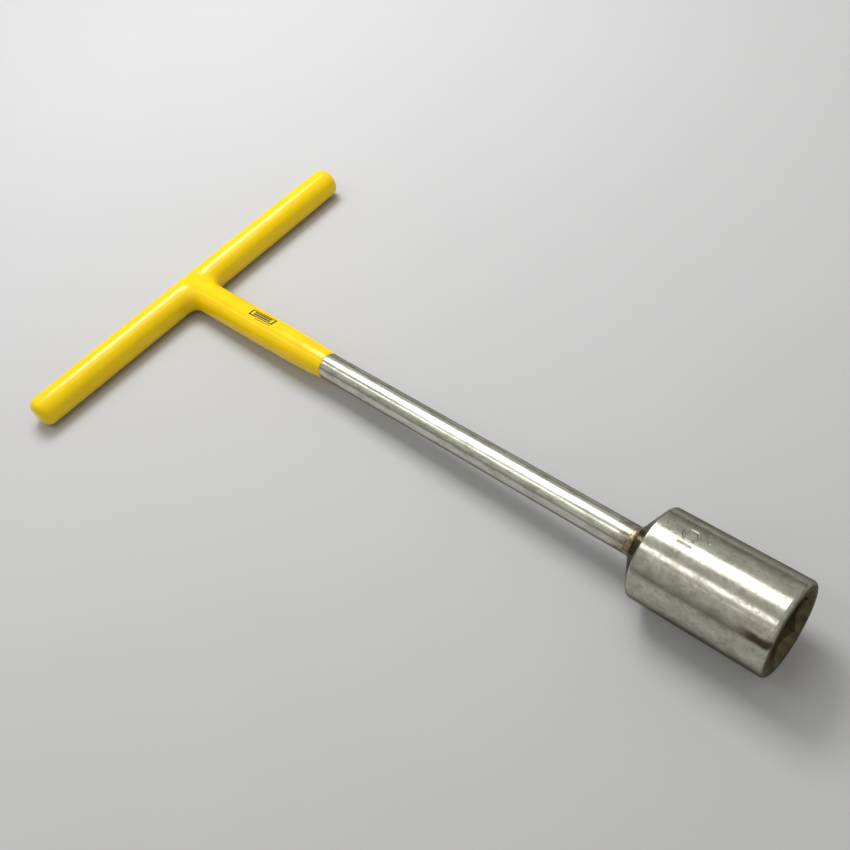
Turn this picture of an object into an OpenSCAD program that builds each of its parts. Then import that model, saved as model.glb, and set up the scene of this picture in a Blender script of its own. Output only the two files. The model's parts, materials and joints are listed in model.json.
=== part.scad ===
// T-handled hydrant wrench: a cross bar and a shaft welded into a T, dipped in a soft
// vinyl grip, with a plain round socket for a hexagon welded to the far end.
//
// Every piece is drawn in the tool's own frame first: the shaft's axis is X, from the
// cross bar towards the socket, the cross bar's axis is Y, and Z is up. laid_down() then
// rests the tool on the floor, where it touches on the cross bar and on the socket's rear
// edge, so the shaft rises slightly towards the socket. Millimetres throughout.

/* [Cross bar] */
// Length of the cross bar over its grip coating
handle_len = 328; // [260:2:400]
// Diameter of the steel cross bar
bar_d = 20; // [18:0.5:24]
// Rounding of the steel bar's ends
bar_end_round = 5; // [2:0.5:7]

/* [Shaft] */
// Distance from the cross bar's axis to the mouth of the socket
reach = 538.8; // [420:0.2:800]
// Diameter of the steel shaft
shaft_d = 20; // [18:0.5:24]
// Gap between the end of the shaft and the cross bar, filled by the weld
root_gap = 0.5; // [0.2:0.1:1.5]

/* [Socket] */
// Width across the flats of the hexagonal recess
hex_af = 41; // [27:1:44]
// Depth of the hexagonal recess, without the drilled point behind it
hex_depth = 60; // [40:1:66]
// Width of the lead-in chamfer around the recess's corners, at the mouth
lead_in = 2.1; // [0.6:0.1:3]
// Outside diameter of the socket
socket_d = 62; // [58:1:74]
// Length of the socket's cylinder, from its rear corner to the mouth
socket_len = 89.1; // [88:0.1:120]
// Length of the cone behind that corner
shoulder_len = 10.7; // [8:0.1:16]
// Radius of the flat that the shaft is welded to
shoulder_r = 13; // [12:0.5:16]
// Rounding of the corner between the cone and the cylinder
shoulder_round = 2; // [1:0.5:4]
// Rounding of the mouth's outer edge
mouth_round = 2.5; // [0.4:0.1:3]

/* [Welds] */
// Radius of the socket weld's hollow face
weld_hollow = 8; // [6:0.5:14]
// Thickness of the socket weld at its edges
weld_edge_t = 0.3; // [0.2:0.05:0.5]
// Reach of the handle weld past the bar, along the shaft
bar_weld_len = 7; // [4:0.5:9]
// Height of the handle weld over the shaft
bar_weld_h = 1.2; // [0.8:0.1:1.5]

/* [Grip coating] */
// Thickness of the coating over the cross bar and most of its shaft
coat_t = 2.9; // [2.5:0.1:4]
// Thickness of the coating where it leaves the ends of the cross bar
coat_end_t = 2.5; // [1.5:0.1:3]
// Distance from the cross bar's axis to the coating's lip on the shaft
coat_reach = 164; // [130:1:220]
// Length over which the coating thins towards its lip
coat_taper_len = 48; // [30:1:60]
// Thickness of the coating at its lip
lip_t = 0.25; // [0.2:0.05:0.6]
// Radius of the coating's fillets between the shaft and the cross bar
coat_fillet = 8; // [6:0.5:16]

/* [Label and stamp] */
// Length of the printed label along the shaft
label_len = 26; // [10:1:34]
// Angle around the shaft that the label covers
label_span = 36; // [10:1:60]
// Angle of the label's middle, from the cross bar's direction
label_angle = 84; // [0:1:180]
// Distance from the cross bar's axis to the label's middle
label_x = 91.5; // [60:0.5:94]
// Thickness of the label
label_t = 0.15; // [0.1:0.05:0.3]
// Depth of the marks struck into the socket
stamp_depth = 0.7; // [0.2:0.1:0.8]

/* [Hidden] */
$fn = 96;

bar_r = bar_d / 2;
shaft_r = shaft_d / 2;
socket_r = socket_d / 2;
coat_r = bar_r + coat_t;
coat_end_r = bar_r + coat_end_t;
coat_end_round = 7.5;
coat_end_taper = 60;
bar_len = handle_len - 2 * coat_end_t;
label_r = shaft_r + coat_t;

socket_x = reach - socket_len;
cone_x = socket_x - shoulder_len;
hex_x = reach - hex_depth;
drill_point_angle = 118;
drill_point_len = hex_af / 2 / tan(drill_point_angle / 2);
lead_in_r = hex_af / 2 / cos(30) + lead_in;
cone_slope = atan2(socket_r - shoulder_r, shoulder_len);

// Marks struck into the socket: angle around it and distance from the cross bar's axis
mark_x = socket_x + 21.5;
hex_mark_angle = 79.5;
hex_mark_af = 8.4;
bar_mark_angle = 93.5;
bar_mark_len = 9.5;
mark_r = 0.9;
punch_x = socket_x + 32.6;
punch_angle = 76.8;
punch_r = 0.9;

// Rest pose: the cross bar and the corner arc behind the socket both touch z = 0
arc_x = socket_x + shoulder_round * tan(cone_slope / 2);
arc_r = socket_r - shoulder_round;
rest_tilt = atan2(arc_r, arc_x) - asin((coat_r - shoulder_round) / norm([arc_r, arc_x]));
front_x = (reach - mouth_round) * cos(rest_tilt)
    + (socket_r - mouth_round) * sin(rest_tilt) + mouth_round;
centre_x = (front_x - coat_r) / 2;

// Points of an arc that rounds corner b of the path a, b, c
function corner(a, b, c, r, steps = 8) =
    let (
        u = (a - b) / norm(a - b),
        v = (c - b) / norm(c - b),
        half = acos(u * v) / 2,
        middle = b + (u + v) / norm(u + v) * r / sin(half),
        from = b + u * r / tan(half) - middle,
        to = b + v * r / tan(half) - middle,
        first = atan2(from.y, from.x),
        sweep = (atan2(to.y, to.x) - first + 540) % 360 - 180
    )
    [for (i = [0 : steps])
        middle + r * [cos(first + sweep * i / steps), sin(first + sweep * i / steps)]];

// Turns a [radius, distance] outline about the shaft's axis
module turned_about_x(outline) {
    rotate([0, 90, 0]) rotate_extrude() polygon(outline);
}

// Turns a [radius, distance] outline about the cross bar's axis
module turned_about_y(outline) {
    rotate([-90, 0, 0]) rotate_extrude() polygon(outline);
}

// A straight round bar along the shaft, from one distance to another
module rod_x(r, from, to) {
    translate([from, 0, 0]) rotate([0, 90, 0]) cylinder(r = r, h = to - from);
}

// A straight round bar centred on the cross bar's axis
module rod_y(r, length) {
    rotate([90, 0, 0]) cylinder(r = r, h = length, center = true);
}

// Puts its children, drawn in the tool's frame, where the tool lies on the floor
module laid_down() {
    translate([-centre_x, 0, coat_r]) rotate([0, -rest_tilt, 0]) children();
}

// Round rod with rounded ends about the cross bar's axis, from two radii
module bar_shape(middle_r, end_r, length, taper, end_round) {
    half = length / 2;
    tip = [0, half];
    edge = [end_r, half];
    shoulder = [middle_r, half - taper];
    upper = concat([shoulder], corner(shoulder, edge, tip, end_round), [tip]);
    lower = [for (i = [len(upper) - 1 : -1 : 0]) [upper[i].x, -upper[i].y]];
    turned_about_y(concat(lower, upper));
}

// The two crotches of the T, filled by concave fillets as high as the given height
module crotches(inner_r, fillet_r, height) {
    outer = inner_r + fillet_r;
    for (side = [0, 1])
        mirror([0, side, 0])
            translate([0, 0, -height / 2])
                linear_extrude(height)
                    difference() {
                        square(outer);
                        translate([outer, outer]) circle(r = fillet_r);
                    }
}

module steel_bar() {
    bar_shape(bar_r, bar_r, bar_len, coat_end_taper, bar_end_round);
}

// The handle weld before the steel it joins is taken away
module weld_mass() {
    bead_r = shaft_r + bar_weld_h;
    toe = bar_r + bar_weld_len;
    turned_about_x([[0, 0], [bead_r, 0], [bead_r, bar_r + root_gap], [shaft_r, toe], [0, toe]]);
    crotches(bar_r, bar_weld_len, bar_r);
}

module cross_bar() {
    color("silver")
        laid_down()
            steel_bar();
}

module shaft() {
    color("lightgray")
        laid_down()
            rod_x(shaft_r, bar_r + root_gap, cone_x);
}

module bar_weld() {
    color("dimgray")
        laid_down()
            difference() {
                weld_mass();
                rod_y(bar_r, bar_len);
                rod_x(shaft_r, bar_r + root_gap, reach);
            }
}

module grip_coating() {
    lip_r = shaft_r + lip_t;
    taper_x = coat_reach - coat_taper_len;
    thin_x = coat_reach - 0.2 * coat_taper_len;
    thin_r = shaft_r + 0.62 * coat_t;
    color("gold")
        laid_down()
            difference() {
                union() {
                    bar_shape(coat_r, coat_end_r, handle_len, coat_end_taper, coat_end_round);
                    turned_about_x([[0, 0], [coat_r, 0], [coat_r, taper_x], [thin_r, thin_x],
                        [lip_r, coat_reach], [0, coat_reach]]);
                    crotches(coat_r, coat_fillet, coat_r);
                }
                steel_bar();
                rod_x(shaft_r, 0, reach);
                weld_mass();
            }
}

module grip_label() {
    color("black")
        laid_down()
            rotate([label_angle - 90 + label_span / 2, 0, 0])
                rotate([0, 90, 0])
                    rotate([0, 0, 180 - label_span])
                        translate([0, 0, label_x - label_len / 2])
                            rotate_extrude(angle = label_span)
                                translate([label_r, 0])
                                    square([label_t, label_len]);
}

// Places its children on the socket's surface, facing outwards
module on_socket(x, angle) {
    rotate([angle - 90, 0, 0]) translate([x, 0, socket_r]) children();
}

// A cutter for a straight, round-bottomed groove along X, struck into the surface below it
module groove(length) {
    translate([0, 0, mark_r - stamp_depth]) rotate([0, 90, 0])
        cylinder(r = mark_r, h = length, center = true);
}

// The marks as cutters that reach stamp_depth below the surface
module struck_marks() {
    on_socket(mark_x, hex_mark_angle)
        for (side = [0 : 5])
            rotate([0, 0, 60 * side])
                translate([0, hex_mark_af / 2, 0])
                    groove(hex_mark_af * tan(30) + mark_r);
    on_socket(mark_x, bar_mark_angle) groove(bar_mark_len);
    on_socket(punch_x, punch_angle) sphere(r = punch_r, $fn = 24);
}

module socket() {
    back = [shoulder_r, cone_x];
    rear = [socket_r, socket_x];
    front = [socket_r, reach];
    middle = [0, reach];
    color("darkgray")
        laid_down()
            difference() {
                turned_about_x(concat([[0, cone_x], back],
                    corner(back, rear, front, shoulder_round),
                    corner(rear, front, middle, mouth_round), [middle]));
                translate([hex_x, 0, 0]) rotate([0, 90, 0]) rotate([0, 0, 90])
                    cylinder(d = hex_af / cos(30), h = hex_depth + 1, $fn = 6);
                translate([hex_x - drill_point_len, 0, 0]) rotate([0, 90, 0])
                    cylinder(r1 = 0, r2 = hex_af / 2, h = drill_point_len);
                translate([reach - lead_in_r, 0, 0]) rotate([0, 90, 0])
                    cylinder(r1 = 0, r2 = lead_in_r + 1, h = lead_in_r + 1);
                struck_marks();
            }
}

module socket_weld() {
    along = [sin(cone_slope), cos(cone_slope)];
    outward = [cos(cone_slope), -sin(cone_slope)];
    face_r = shaft_r + weld_edge_t;
    lifted = [shoulder_r, cone_x] + weld_edge_t * outward;
    root = lifted - along * (lifted.x - face_r) / along.x;
    face = corner([face_r, 0], root, lifted + 10 * along, weld_hollow);
    toe = face[0];
    top = face[len(face) - 1] - weld_edge_t * outward;
    color("sienna")
        laid_down()
            turned_about_x(concat([[shaft_r, cone_x], [shaft_r, toe.y]], face,
                [top, [shoulder_r, cone_x]]));
}

cross_bar();
shaft();
bar_weld();
grip_coating();
grip_label();
socket();
socket_weld();
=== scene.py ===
"""Looks of a T-handled hydrant wrench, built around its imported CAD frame. Metres."""
import json
import math

import bmesh
import bpy
import numpy as np
from mathutils import Matrix, Quaternion, Vector, noise


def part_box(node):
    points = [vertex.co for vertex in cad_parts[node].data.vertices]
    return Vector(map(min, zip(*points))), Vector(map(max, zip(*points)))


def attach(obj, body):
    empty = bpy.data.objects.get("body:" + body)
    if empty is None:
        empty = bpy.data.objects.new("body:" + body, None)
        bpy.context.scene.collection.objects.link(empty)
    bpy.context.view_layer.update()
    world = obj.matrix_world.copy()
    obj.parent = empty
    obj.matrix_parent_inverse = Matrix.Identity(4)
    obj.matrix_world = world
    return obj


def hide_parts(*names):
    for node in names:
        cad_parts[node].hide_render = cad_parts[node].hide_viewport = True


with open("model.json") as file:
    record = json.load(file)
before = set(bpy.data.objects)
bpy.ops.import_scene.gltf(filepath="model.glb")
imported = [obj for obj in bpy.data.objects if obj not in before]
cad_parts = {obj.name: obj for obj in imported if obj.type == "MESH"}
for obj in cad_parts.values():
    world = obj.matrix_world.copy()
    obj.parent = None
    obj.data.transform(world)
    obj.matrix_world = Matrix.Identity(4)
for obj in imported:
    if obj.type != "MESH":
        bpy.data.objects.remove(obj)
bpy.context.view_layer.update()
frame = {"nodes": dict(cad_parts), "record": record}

# ---------------------------------------------------------------- the tool's own frame
# X runs along the shaft from the cross bar's axis, Y along the cross bar, Z is up.
MM = 0.001
MOUNTS = {mount["name"]: mount for mount in frame["record"]["mounts"]}
AXIS = Vector(MOUNTS["hex_socket"]["axis"])
TILT = math.atan2(AXIS.z, AXIS.x)
CROSSING = sum(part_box("cross_bar"), Vector()) / 2
TOOL = Matrix.Translation(CROSSING) @ Matrix.Rotation(-TILT, 4, "Y")


def tool_box(node):
    """Lowest and highest corner of a CAD node in the tool's own frame."""
    to_tool = TOOL.inverted()
    points = np.array([to_tool @ v.co for v in frame["nodes"][node].data.vertices])
    return points.min(0), points.max(0)


STEEL_HALF, BAR_R = tool_box("cross_bar")[1][1:]
SHAFT_R = tool_box("shaft")[1][1]
COAT_LOW, COAT_HIGH = tool_box("grip_coating")
COAT_R = -COAT_LOW[0]
HANDLE_HALF = COAT_HIGH[1]
LIP_X = COAT_HIGH[0]
LABEL_LOW, LABEL_HIGH = tool_box("grip_label")
SOCKET_LOW, SOCKET_HIGH = tool_box("socket")
CONE_X, MOUTH_X = SOCKET_LOW[0], SOCKET_HIGH[0]
SOCKET_R = SOCKET_HIGH[1]
WELD_TOP = tool_box("socket_weld")[1][1]

# Shape of the socket's back and mouth, which no box tells
SOCKET_LEN = 89.1 * MM
SHOULDER_X = MOUTH_X - SOCKET_LEN
SHOULDER_R = 13 * MM
CONE_SLOPE = (SOCKET_R - SHOULDER_R) / (SHOULDER_X - CONE_X)
END_FACE_R = 30.0 * MM


# ---------------------------------------------------------------- camera, light, floor
def make_camera():
    """A camera that looks down on the tool from beyond the socket, turned a little."""
    target = Vector((-0.0143, 0.0091, 0.0))
    azimuth, elevation, roll = (math.radians(a) for a in (52.38, 50.88, -14.06))
    distance = 0.7424
    ahead = Vector((-math.sin(azimuth) * math.cos(elevation),
                    math.cos(azimuth) * math.cos(elevation), -math.sin(elevation)))
    camera = bpy.data.objects.new("camera", bpy.data.cameras.new("camera"))
    camera.data.lens = 43.32
    camera.data.sensor_width = 36
    camera.data.clip_start = 0.01
    camera.location = target - distance * ahead
    camera.rotation_mode = "QUATERNION"
    camera.rotation_quaternion = (ahead.to_track_quat("-Z", "Y")
                                  @ Quaternion((0, 0, 1), roll))
    bpy.context.scene.collection.objects.link(camera)
    bpy.context.scene.camera = camera


def softbox(name, low, high, height, radiance, colour=(1, 1, 1)):
    """A rectangular lamp facing straight down, from its lowest to its highest corner."""
    size = (high[0] - low[0], high[1] - low[1])
    lamp = bpy.data.lights.new(name, "AREA")
    lamp.shape = "RECTANGLE"
    lamp.size, lamp.size_y = size
    lamp.energy = radiance * math.pi * size[0] * size[1]
    lamp.color = colour
    box = bpy.data.objects.new(name, lamp)
    box.location = ((low[0] + high[0]) / 2, (low[1] + high[1]) / 2, height)
    bpy.context.scene.collection.objects.link(box)


def make_lights():
    """Softboxes overhead, and a dim studio that is darker towards the horizon."""
    softbox("key_softbox", (-0.95, 0.03), (-0.42, 0.78), 1.18, 9.5)
    softbox("wide_softbox", (-1.25, 0.08), (0.14, 0.68), 1.20, 2.4)
    softbox("side_softbox", (-1.75, -0.74), (0.05, -0.50), 1.20, 2.2)
    softbox("thin_softbox", (-1.00, -1.17), (0.10, -1.13), 1.20, 2.0, (1, 0.96, 0.8))
    world = bpy.data.worlds.new("studio")
    world.use_nodes = True
    nodes = world.node_tree.nodes
    links = world.node_tree.links
    background = nodes["Background"]
    background.inputs["Color"].default_value = (1.0, 0.99, 0.93, 1)
    height = nodes.new("ShaderNodeSeparateXYZ")
    links.new(nodes.new("ShaderNodeTexCoord").outputs["Generated"], height.inputs[0])
    strength = nodes.new("ShaderNodeMapRange")
    links.new(height.outputs["Z"], strength.inputs["Value"])
    strength.inputs["From Min"].default_value = 0.0
    strength.inputs["From Max"].default_value = 0.4
    strength.inputs["To Min"].default_value = 0.15
    strength.inputs["To Max"].default_value = 0.50
    links.new(strength.outputs["Result"], background.inputs["Strength"])
    bpy.context.scene.world = world
    bpy.context.scene.view_settings.view_transform = "Standard"


# ---------------------------------------------------------------- materials
class Shader:
    """A material's node tree, with short calls to add nodes and join them."""

    def __init__(self, name):
        self.material = bpy.data.materials.new(name)
        self.material.use_nodes = True
        self.nodes = self.material.node_tree.nodes
        self.links = self.material.node_tree.links
        self.surface = self.nodes["Principled BSDF"]

    def put(self, socket, value):
        if isinstance(value, bpy.types.NodeSocket):
            self.links.new(value, socket)
        else:
            socket.default_value = value

    def node(self, kind, inputs=(), **settings):
        made = self.nodes.new("ShaderNode" + kind)
        for name, value in settings.items():
            setattr(made, name, value)
        for key, value in dict(inputs).items():
            self.put(made.inputs[key], value)
        return made

    def set(self, **values):
        for name, value in values.items():
            self.put(self.surface.inputs[name.replace("_", " ")], value)

    def tool_point(self, stretch=(1, 1, 1)):
        """Place on the tool, in its own frame, with each axis multiplied by stretch."""
        place = self.node("TexCoord").outputs["Object"]
        local = self.node("Mapping", {"Vector": place, "Location": CROSSING,
                                      "Rotation": (0, -TILT, 0)}, vector_type="TEXTURE")
        return self.node("VectorMath", {0: local.outputs[0], 1: stretch},
                         operation="MULTIPLY").outputs[0]

    def along_and_around(self):
        """Distance along the shaft, distance from its axis, and angle around it."""
        apart = self.node("SeparateXYZ", {0: self.tool_point()}).outputs
        off_axis = self.math("SQRT", self.math("ADD", self.math("POWER", apart[1], 2.0),
                                               self.math("POWER", apart[2], 2.0)))
        return apart[0], off_axis, self.math("ARCTAN2", apart[2], apart[1])

    def noise(self, place, scale, detail=3.0, rough=0.55):
        return self.node("TexNoise", {"Vector": place, "Scale": scale, "Detail": detail,
                                      "Roughness": rough}).outputs["Fac"]

    def span(self, value, low, high, to_low=0.0, to_high=1.0, smooth=False):
        """value, carried from low..high to to_low..to_high and clamped."""
        kind = "SMOOTHSTEP" if smooth else "LINEAR"
        return self.node("MapRange", {"Value": value, "From Min": low, "From Max": high,
                                      "To Min": to_low, "To Max": to_high},
                         interpolation_type=kind).outputs[0]

    def math(self, operation, *values):
        return self.node("Math", dict(enumerate(values)), operation=operation).outputs[0]

    def mix(self, share, first, second, blend="MIX"):
        made = self.node("Mix", data_type="RGBA", blend_type=blend)
        self.put(made.inputs["Factor"], share)
        self.put([i for i in made.inputs if i.name == "A" and i.type == "RGBA"][0], first)
        self.put([i for i in made.inputs if i.name == "B" and i.type == "RGBA"][0], second)
        return [o for o in made.outputs if o.type == "RGBA"][0]

    def bump(self, height, distance, strength=1.0):
        made = self.node("Bump", {"Height": height, "Distance": distance,
                                  "Strength": strength})
        return made.outputs[0]


def grey(value, warmth=0.0):
    """A steel colour: warmth takes some of its blue away, and a little of its green."""
    return (value, value * (1 - 0.1 * warmth), value * (1 - warmth), 1)


GRAZING_TINT = (0.30, 0.295, 0.25, 1)


def weld_tint(s, tone, along, clouds, start, end, amount):
    """Browns a steel tone by degrees, from start to end along the shaft."""
    edge = s.math("ADD", along, s.span(clouds, 0.3, 0.7, -0.005, 0.005))
    share = s.span(edge, start, end, 0.0, amount, smooth=True)
    return s.mix(share, tone, (0.11, 0.075, 0.03, 1))


def shaft_steel():
    """Bright drawn bar: streaks along its length, cloudy stains, browned by the weld."""
    s = Shader("drawn_steel")
    along, _, _ = s.along_and_around()
    streaks = s.noise(s.tool_point((22, 800, 800)), 1.0, 4.0, 0.6)
    clouds = s.noise(s.tool_point((110, 260, 260)), 1.0, 4.0, 0.6)
    tone = s.mix(s.span(streaks, 0.32, 0.68), grey(0.54, 0.16), grey(0.76, 0.10))
    tone = s.mix(s.span(clouds, 0.48, 0.72, 0, 0.6), tone, grey(0.27, 0.30))
    tone = weld_tint(s, tone, along, clouds, CONE_X - 0.016, CONE_X - 0.002, 0.6)
    s.set(Base_Color=tone, Metallic=1.0, Roughness=s.span(streaks, 0.25, 0.75, 0.16, 0.30),
          Specular_Tint=GRAZING_TINT)
    height = s.math("ADD", s.math("MULTIPLY", streaks, 0.5), clouds)
    s.set(Normal=s.bump(height, 0.00012, 0.35))
    return s.material


def smear(s, along, around, clouds):
    """How far the brown smear covers the socket: a narrow stroke that ends at the mouth."""
    centre, half = math.radians(142), math.radians(4.2)
    wander = s.span(clouds, 0.3, 0.7, -0.03, 0.03)
    off = s.math("ABSOLUTE", s.math("SUBTRACT", s.math("ADD", around, wander), centre))
    across = s.span(off, half * 0.5, half * 1.5, 1.0, 0.0, smooth=True)
    onset = s.span(along, MOUTH_X - 0.023, MOUTH_X - 0.010, 0.0, 0.9, smooth=True)
    return s.math("MULTIPLY", across, onset)


def pits(s):
    """A few small dark pits, scattered singly."""
    cells = s.node("TexVoronoi", {"Vector": s.tool_point((60, 60, 60)), "Scale": 1.0})
    return s.span(cells.outputs["Distance"], 0.022, 0.034, 0.85, 0.0)


def socket_steel():
    """Turned and polished steel with cloudy stains; brown and dull inside the recess."""
    s = Shader("polished_socket")
    along, off_axis, around = s.along_and_around()
    turned = s.noise(s.tool_point((900, 60, 60)), 1.0, 3.0, 0.6)
    clouds = s.noise(s.tool_point((95, 140, 140)), 1.0, 5.0, 0.62)
    patches = s.noise(s.tool_point((300, 300, 300)), 1.0, 4.0, 0.6)
    tone = s.mix(s.span(clouds, 0.36, 0.66), grey(0.60, 0.12), grey(0.42, 0.20))
    tone = s.mix(s.span(patches, 0.50, 0.70, 0, 0.55), tone, grey(0.27, 0.22))
    tone = s.mix(pits(s), tone, (0.05, 0.04, 0.03, 1))
    tone = s.mix(smear(s, along, around, clouds), tone, (0.085, 0.048, 0.026, 1))
    behind = s.span(along, SHOULDER_X - 0.0016, SHOULDER_X - 0.0002, 0.45, 0.0)
    tone = s.mix(behind, tone, (0.20, 0.18, 0.13, 1))
    rust = s.mix(s.span(clouds, 0.35, 0.65), (0.17, 0.145, 0.075, 1), (0.085, 0.06, 0.042, 1))
    inside = s.math("MULTIPLY", s.span(off_axis, END_FACE_R - 0.001, END_FACE_R, 1.0, 0.0),
                    s.span(along, SHOULDER_X, SHOULDER_X + 0.002))
    tone = s.mix(inside, tone, rust)
    shine = s.span(patches, 0.3, 0.7, 0.12, 0.28)
    s.set(Base_Color=tone, Metallic=s.span(inside, 0, 1, 1.0, 0.5),
          Roughness=s.math("ADD", shine, s.math("MULTIPLY", inside, 0.35)),
          Specular_Tint=GRAZING_TINT)
    height = s.math("ADD", s.math("MULTIPLY", turned, 0.2), clouds)
    height = s.math("ADD", height, s.math("MULTIPLY", patches, 0.6))
    s.set(Normal=s.bump(height, 0.00012, 0.22))
    return s.material


def weld_steel(name, tint):
    """Rough weld metal with dark, brown and golden patches."""
    s = Shader(name)
    patches = s.noise(s.tool_point((330, 330, 330)), 1.0, 4.0, 0.6)
    grains = s.noise(s.tool_point((900, 900, 900)), 1.0, 3.0)
    tone = s.mix(s.span(patches, 0.42, 0.50), (0.12, 0.10, 0.065, 1), (0.30, 0.24, 0.14, 1))
    tone = s.mix(s.span(patches, 0.58, 0.66, 0, 0.9), tone, tint)
    s.set(Base_Color=tone, Metallic=0.9, Roughness=s.span(grains, 0.3, 0.7, 0.25, 0.5))
    s.set(Normal=s.bump(grains, 0.0002, 0.4))
    return s.material


def grip_vinyl():
    """Glossy yellow dipped vinyl with a faintly uneven skin and slight dirt."""
    s = Shader("dipped_vinyl")
    waves = s.noise(s.tool_point((60, 60, 60)), 1.0, 2.0)
    dirt = s.noise(s.tool_point((190, 190, 190)), 1.0, 5.0, 0.65)
    tone = s.mix(s.span(waves, 0.3, 0.7), (0.88, 0.61, 0.0, 1), (0.86, 0.56, 0.0, 1))
    tone = s.mix(s.span(dirt, 0.66, 0.80, 0, 0.45), tone, (0.34, 0.20, 0.02, 1))
    s.set(Base_Color=tone, Roughness=s.span(dirt, 0.3, 0.75, 0.11, 0.24), IOR=1.5,
          Specular_IOR_Level=0.3)
    s.set(Normal=s.bump(waves, 0.0003, 0.25))
    return s.material


def label_ink():
    """Black printing ink, a little worn."""
    s = Shader("printing_ink")
    wear = s.noise(s.tool_point((900, 900, 900)), 1.0, 3.0)
    tone = s.mix(s.span(wear, 0.5, 0.75), (0.010, 0.009, 0.005, 1), (0.06, 0.045, 0.01, 1))
    s.set(Base_Color=tone, Roughness=s.span(wear, 0.3, 0.7, 0.25, 0.45))
    return s.material


def floor_paper():
    """Plain pale studio floor."""
    s = Shader("pale_floor")
    mottle = s.noise(s.node("TexCoord").outputs["Object"], 8.0)
    s.set(Base_Color=s.mix(mottle, (0.48, 0.48, 0.49, 1), (0.50, 0.50, 0.51, 1)),
          Roughness=0.9)
    return s.material


def make_floor():
    bpy.ops.mesh.primitive_plane_add(size=12)
    floor = bpy.context.object
    floor.name = "floor"
    floor.data.materials.append(floor_paper())


# ---------------------------------------------------------------- mesh helpers
def mesh_object(name, points, faces, material, smooth=True):
    """A mesh from points given in the tool's frame."""
    data = bpy.data.meshes.new(name)
    data.from_pydata([TOOL @ Vector(p) for p in points], [], faces)
    outward = bmesh.new()
    outward.from_mesh(data)
    bmesh.ops.recalc_face_normals(outward, faces=outward.faces)
    outward.to_mesh(data)
    outward.free()
    data.update()
    data.polygons.foreach_set("use_smooth", [smooth] * len(data.polygons))
    data.materials.append(material)
    made = bpy.data.objects.new(name, data)
    bpy.context.scene.collection.objects.link(made)
    return made


# ---------------------------------------------------------------- the grip coating
CROTCH_BLEND = 9 * MM
TOP_FULLNESS = 2.5
WELD_BLEND = 5 * MM
END_ROUND = 7.5 * MM
BAR_TAPER = 60 * MM
BAR_END_THINNER = 0.4 * MM
STEEL_END_ROUND = 5 * MM
RING = 8
SKIN_LEVELS = 3
UNEVEN = 0.07 * MM


def coat_radius(x):
    """Outer radius of the coating along the shaft: even at first, then thinning out."""
    back_from_lip = np.array([-164, -69, -44, -24, -12, -5.5, -2, -0.6, 0]) * MM
    radii = np.array([12.9, 12.9, 12.72, 12.3, 11.75, 11.2, 10.7, 10.4, 10.22]) * MM
    return np.interp(x - LIP_X, back_from_lip, radii)


def bar_radius(y):
    """Outer radius of the coating along the cross bar, a little less at its ends."""
    past = np.clip((np.abs(y) - (HANDLE_HALF - BAR_TAPER)) / BAR_TAPER, 0, 1)
    return COAT_R - BAR_END_THINNER * past


def rod_distance(points, radius, half, rounding):
    """Distance from each point to a rod along Y with rounded ends."""
    out = np.hypot(points[:, 0], points[:, 2]) - (radius - rounding)
    past = np.abs(points[:, 1]) - (half - rounding)
    corner = np.hypot(np.maximum(out, 0), np.maximum(past, 0))
    return corner + np.minimum(np.maximum(out, past), 0) - rounding


def tee_distance(points, bar, stem_radius, blend):
    """Distance to a T: a tight blend in its crotches, a full one near the level top."""
    x, y, z = points.T
    to_bar = np.stack([x, 0 * y, z], 1)
    to_stem = np.stack([np.minimum(x, 0), y, z], 1)
    bar_off, stem_off = (np.linalg.norm(v, axis=1) + 1e-9 for v in (to_bar, to_stem))
    stem = stem_off - stem_radius
    level = np.clip((to_bar * to_stem).sum(1) / (bar_off * stem_off), 0, 1)
    reach = blend * (1 - level ** TOP_FULLNESS) + 1e-6
    share = np.clip(0.5 + 0.5 * (stem - bar) / reach, 0, 1)
    return stem + (bar - stem) * share - reach * share * (1 - share)


def outer_skin(points):
    bar = rod_distance(points, bar_radius(points[:, 1]), HANDLE_HALF, END_ROUND)
    return tee_distance(points, bar, coat_radius(points[:, 0]), CROTCH_BLEND)


def inner_skin(points):
    bar = rod_distance(points, BAR_R, STEEL_HALF, STEEL_END_ROUND)
    return tee_distance(points, bar, SHAFT_R, WELD_BLEND)


def slope(distance, points):
    """Gradient of a distance at each point."""
    step = 0.01 * MM
    sides = [distance(points + step * axis) - distance(points - step * axis)
             for axis in np.eye(3)]
    return np.stack(sides, 1) / (2 * step)


def settle(points, distance, rounds=8):
    """Moves points onto the surface where the distance is nil."""
    for _ in range(rounds):
        gradient = slope(distance, points)
        square = np.maximum((gradient ** 2).sum(1), 0.01)
        points = points - gradient * (distance(points) / square)[:, None]
    return points


def relax(points, edges, held, distance, rounds=6):
    """Evens out a mesh along its surface, apart from the points that are held."""
    count = np.zeros(len(points))
    np.add.at(count, edges.ravel(), 1)
    for _ in range(rounds):
        total = np.zeros_like(points)
        np.add.at(total, edges[:, 0], points[edges[:, 1]])
        np.add.at(total, edges[:, 1], points[edges[:, 0]])
        moved = points + 0.5 * (total / count[:, None] - points)
        points = np.where(held[:, None], points, settle(moved, distance, 3))
    return points


def ring_strip(first, second):
    """Quads between two rings of point numbers."""
    return [(first[i], first[i - 1], second[i - 1], second[i]) for i in range(len(first))]


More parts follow.
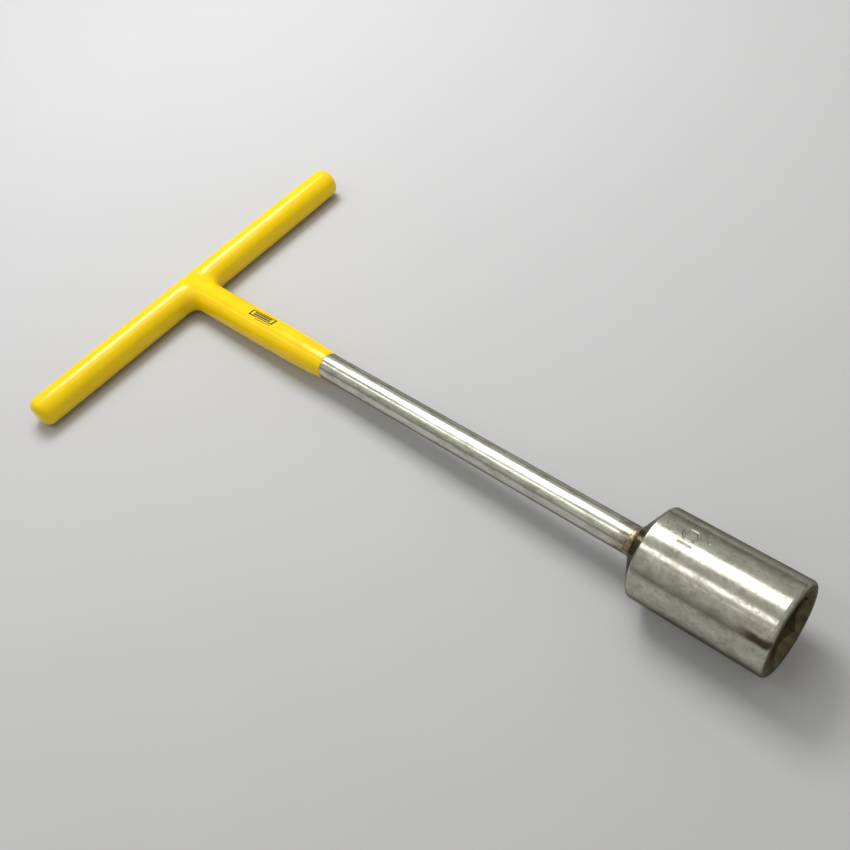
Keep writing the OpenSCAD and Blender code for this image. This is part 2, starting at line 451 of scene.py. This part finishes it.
def tee_cage():
    """Coarse T: eight-sided rings along the bar, and along the stem out of its side."""
    half_hole = 11 * MM
    out = [half_hole, 24 * MM, 55 * MM, 90 * MM, 125 * MM, HANDLE_HALF - END_ROUND * 1.6,
           HANDLE_HALF - END_ROUND * 0.3, HANDLE_HALF]
    places = [-y for y in reversed(out)] + [0.0] + out
    radii = [0.55 * COAT_R if abs(y) == HANDLE_HALF else COAT_R for y in places]
    turns = [2 * math.pi * i / RING for i in range(RING)]
    points = [(r * math.cos(t), y, r * math.sin(t)) for y, r in zip(places, radii) for t in turns]
    rings = [[RING * j + i for i in range(RING)] for j in range(len(places))]
    middle = len(out)
    quads = []
    for j in range(len(rings) - 1):
        strip = ring_strip(rings[j], rings[j + 1])
        opened = (0, 1) if j in (middle - 1, middle) else ()
        quads += [quad for i, quad in enumerate(strip) if i not in opened]
    before, centre, after = rings[middle - 1: middle + 2]
    hole = [after[0], after[1], centre[1], before[1], before[0], before[-1], centre[-1], after[-1]]
    stem = [22 * MM, 40 * MM, 70 * MM, 100 * MM, 125 * MM, 145 * MM, 157 * MM, 162 * MM, LIP_X]
    for x in stem:
        start = len(points)
        points += [(x, COAT_R * math.cos(t), COAT_R * math.sin(t)) for t in turns]
        ring = list(range(start, start + RING))
        quads += ring_strip(ring, hole)
        hole = ring
    return points, quads + [tuple(rings[0]), tuple(reversed(rings[-1]))]


def subdivided(points, faces, levels):
    """Points, edges and faces of a cage after Catmull-Clark subdivision."""
    data = bpy.data.meshes.new("cage")
    data.from_pydata(points, [], faces)
    used = bmesh.new()
    used.from_mesh(data)
    bmesh.ops.delete(used, geom=[v for v in used.verts if not v.link_faces], context="VERTS")
    used.to_mesh(data)
    used.free()
    cage = bpy.data.objects.new("cage", data)
    bpy.context.scene.collection.objects.link(cage)
    modifier = cage.modifiers.new("smooth", "SUBSURF")
    modifier.levels = levels
    fine = cage.evaluated_get(bpy.context.evaluated_depsgraph_get()).to_mesh()
    result = (np.array([v.co for v in fine.vertices]),
              np.array([tuple(e.vertices) for e in fine.edges]),
              [tuple(f.vertices) for f in fine.polygons])
    bpy.data.objects.remove(cage)
    bpy.data.meshes.remove(data)
    return result


def open_edges(faces):
    """The edges that only one face has, as ordered pairs."""
    pairs = {(f[i - 1], f[i]) for f in faces for i in range(len(f))}
    return [(a, b) for a, b in pairs if (b, a) not in pairs]


def on_lip(points, radius):
    """Puts points on the lip's circle."""
    around = points[:, 1:] / np.linalg.norm(points[:, 1:], axis=1)[:, None]
    return np.column_stack([np.full(len(points), LIP_X), around * radius])


def make_grip_skin(material):
    """The dipped skin: a smooth T over the steel, closed round the steel at its lip."""
    points, edges, faces = subdivided(*tee_cage(), SKIN_LEVELS)
    rim = open_edges(faces)
    held = np.zeros(len(points), bool)
    held[[a for a, _ in rim]] = True
    outer = settle(points, outer_skin)
    outer[held] = on_lip(outer[held], coat_radius(LIP_X))
    outer = relax(outer, edges, held, outer_skin)
    inner = settle(outer, inner_skin)
    inner[held] = on_lip(outer[held], SHAFT_R)
    swell = np.array([noise.noise(Vector(p) * 40) for p in outer]) * UNEVEN * ~held
    outer = outer + slope(outer_skin, outer) * (swell - UNEVEN * ~held)[:, None]
    count = len(outer)
    shell = list(faces) + [tuple(count + i for i in reversed(f)) for f in faces]
    shell += [(b, a, count + a, count + b) for a, b in rim]
    return mesh_object("grip_skin", np.vstack([outer, inner]), shell, material)


# ---------------------------------------------------------------- the printed label
LABEL_LIFT = 0.03 * MM
INK_T = 0.05 * MM
LABEL_START = math.radians(69.1)
LABEL_SPAN = math.radians(28)
LABEL_SKEW = math.radians(-5.5)


class Print:
    """Thin closed patches of ink on the stem's coating, placed by shares of the label."""

    def __init__(self):
        self.points = []
        self.faces = []

    def place(self, along, across, lift):
        x = LABEL_LOW[0] + along * (LABEL_HIGH[0] - LABEL_LOW[0])
        turn = LABEL_START + LABEL_SKEW * along + LABEL_SPAN * across
        radius = coat_radius(x) + lift
        return (x, radius * math.cos(turn), radius * math.sin(turn))

    def box(self, low, high, parts=6):
        """A patch from its lowest to its highest shares, divided into parts."""
        first = len(self.points)
        wide = parts + 1
        alongs = np.linspace(low[0], high[0], wide)
        acrosses = np.linspace(low[1], high[1], wide)
        for lift in (LABEL_LIFT, LABEL_LIFT + INK_T):
            self.points += [self.place(u, v, lift) for u in alongs for v in acrosses]
        layer = wide * wide
        for i in range(parts):
            for j in range(parts):
                low = first + i * wide + j
                quad = (low, low + 1, low + wide + 1, low + wide)
                self.faces.append(quad)
                self.faces.append(tuple(layer + n for n in reversed(quad)))
        rim = ([j for j in range(parts)] + [i * wide + parts for i in range(parts)]
               + [layer - 1 - j for j in range(parts)]
               + [layer - wide - i * wide for i in range(parts)])
        for near, far in zip(rim, rim[1:] + rim[:1]):
            self.faces.append((first + far, first + near, first + layer + near, first + layer + far))


def make_label(material):
    """A plain framed panel with two stripes along it, and a thin line below it."""
    ink = Print()
    line = 0.05
    edge = 0.13
    ink.box((0, 0), (1, edge))
    ink.box((0, 1 - edge), (1, 1))
    ink.box((0, edge), (line, 1 - edge))
    ink.box((1 - line, edge), (1, 1 - edge))
    for low in (0.24, 0.56):
        ink.box((3 * line, low), (1 - 3 * line, low + 0.20))
    ink.box((0.33, 1.18), (0.97, 1.24))
    return mesh_object("printed_label", ink.points, ink.faces, material)


# ---------------------------------------------------------------- the socket's weld
def make_weld_bead(material):
    """An uneven bead round the shaft's end, thinner on the side away from the label."""
    turns, steps = 120, 14
    points = []
    faces = []
    for i in range(turns):
        turn = 2 * math.pi * i / turns
        side = Vector((math.cos(turn), math.sin(turn), 0))
        lean = math.cos(turn - math.radians(25))
        wobble = noise.noise(side * 2.5)
        toe = CONE_X - (4.6 - 1.6 * lean + 1.0 * wobble) * MM
        top = WELD_TOP - (0.5 + 0.4 * lean - 0.5 * wobble) * MM
        cone_run = (top - SHOULDER_R) / CONE_SLOPE
        ring = [(CONE_X, SHAFT_R - 0.2 * MM), (toe - 0.4 * MM, SHAFT_R - 0.05 * MM)]
        for j in range(steps + 1):
            share = j / steps
            bend = (1 - share) ** 2
            x = toe + (CONE_X + cone_run - toe) * (1 - bend)
            radius = SHAFT_R + 0.12 * MM + (top - SHAFT_R) * share ** 2.2
            lump = noise.noise(Vector((x * 600, turn * 4, 3.0))) + 0.6 * math.sin(26 * turn + 5 * share)
            swell = 0.16 * MM * lump * math.sin(math.pi * share)
            ring.append((x - swell, radius + swell))
        ring.append((CONE_X + cone_run + 0.5 * MM, top - 0.4 * MM))
        points += [(x, r * math.cos(turn), r * math.sin(turn)) for x, r in ring]
    size = len(points) // turns
    for i in range(turns):
        near, far = i * size, (i + 1) % turns * size
        faces += [(near + j, far + j, far + (j + 1) % size, near + (j + 1) % size) for j in range(size)]
    return mesh_object("weld_bead", points, faces, material)


# ---------------------------------------------------------------- the whole tool
def dress(node, material):
    """Gives a carried-over CAD node its material."""
    materials = frame["nodes"][node].data.materials
    materials.clear()
    materials.append(material)


def add(piece, node):
    """Puts a piece in a CAD node's place."""
    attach(piece, "root")
    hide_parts(node)


make_camera()
make_lights()
make_floor()

drawn = shaft_steel()
vinyl = grip_vinyl()
ink = label_ink()
tinted = weld_steel("heat_tinted_weld", (0.42, 0.24, 0.07, 1))
dress("shaft", drawn)
dress("cross_bar", drawn)
dress("socket", socket_steel())
dress("socket_weld", tinted)
dress("bar_weld", weld_steel("hidden_weld", (0.2, 0.18, 0.15, 1)))
dress("grip_coating", vinyl)
dress("grip_label", ink)

add(make_grip_skin(vinyl), "grip_coating")
add(make_label(ink), "grip_label")
add(make_weld_bead(tinted), "socket_weld")
